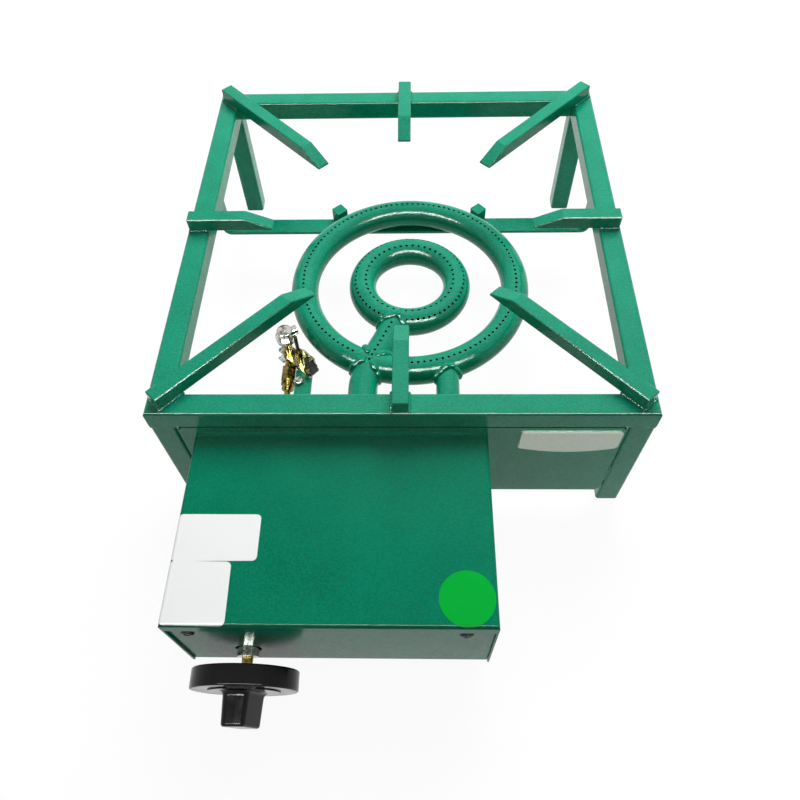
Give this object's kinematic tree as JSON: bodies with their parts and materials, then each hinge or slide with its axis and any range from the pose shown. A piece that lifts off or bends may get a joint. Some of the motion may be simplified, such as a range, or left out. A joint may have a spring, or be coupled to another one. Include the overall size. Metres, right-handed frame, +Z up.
{
  "type": "gas stock pot range",
  "caption": "Low square gas stove for stock pots: steel frame with bar rests, double ring burner, pilot, and a front control box with a round valve knob.",
  "frame": {"origin": "under the centre of the bounding box, on the floor", "axes": "+Z up, +Y from the knob to the back of the frame, +X to the right as seen from the knob"},
  "size_m": [0.4, 0.6234, 0.163],
  "materials": {
    "green_paint": "glossy speckled enamel",
    "knob_plastic": "glossy",
    "brass": "machined",
    "copper": "drawn tube",
    "chrome": "polished",
    "zinc_steel": "bright zinc plated",
    "black_steel": "blackened"
  },
  "bodies": {
    "stove": {"arm_screw": "zinc_steel", "box_body": "green_paint", "box_floor": "green_paint", "burner_crossbar": "green_paint", "burner_stop_left": "green_paint", "burner_stop_right": "green_paint", "clamp_screw": "brass", "foot_cap_back_left": "green_paint", "foot_cap_back_right": "green_paint", "foot_cap_front_left": "green_paint", "foot_cap_front_right": "green_paint", "front_panel": "green_paint", "front_plate": "green_paint", "injector_inner": "brass", "injector_outer": "brass", "inlet_locknut": "zinc_steel", "inlet_pipe": "zinc_steel", "inner_feed_tube": "green_paint", "inner_ring": "green_paint", "leg_back_left": "green_paint", "leg_back_right": "green_paint", "leg_front_left": "green_paint", "leg_front_right": "green_paint", "manifold_pipe": "zinc_steel", "outer_feed_tube": "green_paint", "outer_ring": "green_paint", "panel_screw_left": "black_steel", "panel_screw_right": "black_steel", "pilot_arm": "green_paint", "pilot_body": "brass", "pilot_bracket": "zinc_steel", "pilot_clamp": "black_steel", "pilot_fitting": "brass", "pilot_hood": "chrome", "pilot_nut": "brass", "pilot_tube": "copper", "pot_rest_back": "green_paint", "pot_rest_back_left": "green_paint", "pot_rest_back_right": "green_paint", "pot_rest_front": "green_paint", "pot_rest_front_left": "green_paint", "pot_rest_front_right": "green_paint", "pot_rest_left": "green_paint", "pot_rest_right": "green_paint", "rail_back": "green_paint", "rail_front": "green_paint", "rail_left": "green_paint", "rail_right": "green_paint", "thermocouple": "brass", "thermocouple_lead": "copper", "valve_body": "brass", "valve_sleeve": "zinc_steel"},
    "push_rod": {"valve_push_rod": "zinc_steel"},
    "knob": {"knob": "knob_plastic", "valve_spindle": "brass"},
    "shutter_inner": {"air_shutter_inner": "zinc_steel", "shutter_screw_inner": "zinc_steel"},
    "shutter_outer": {"air_shutter_outer": "zinc_steel", "shutter_screw_outer": "zinc_steel"}
  },
  "joints": [
    {"name": "valve_push", "type": "slide", "parent": "stove", "child": "push_rod", "axis": [0, 0.9962, 0.0872], "range_m": [0, 0.003], "stiffness_N_per_m": 1000, "springref_m": -0.004},
    {"name": "knob_turn", "type": "hinge", "parent": "push_rod", "child": "knob", "pos_m": [-0.1155, -0.25556, 0.0572], "axis": [0, -0.9962, -0.0872], "range_deg": [0, 180]},
    {"name": "shutter_inner_turn", "type": "hinge", "parent": "stove", "child": "shutter_inner", "pos_m": [-0.0366, -0.14426, 0.0755], "axis": [0, 1, 0], "range_deg": [0, 75]},
    {"name": "shutter_outer_turn", "type": "hinge", "parent": "stove", "child": "shutter_outer", "pos_m": [0.041, -0.14426, 0.0755], "axis": [0, 1, 0], "range_deg": [0, 75]}
  ]
}
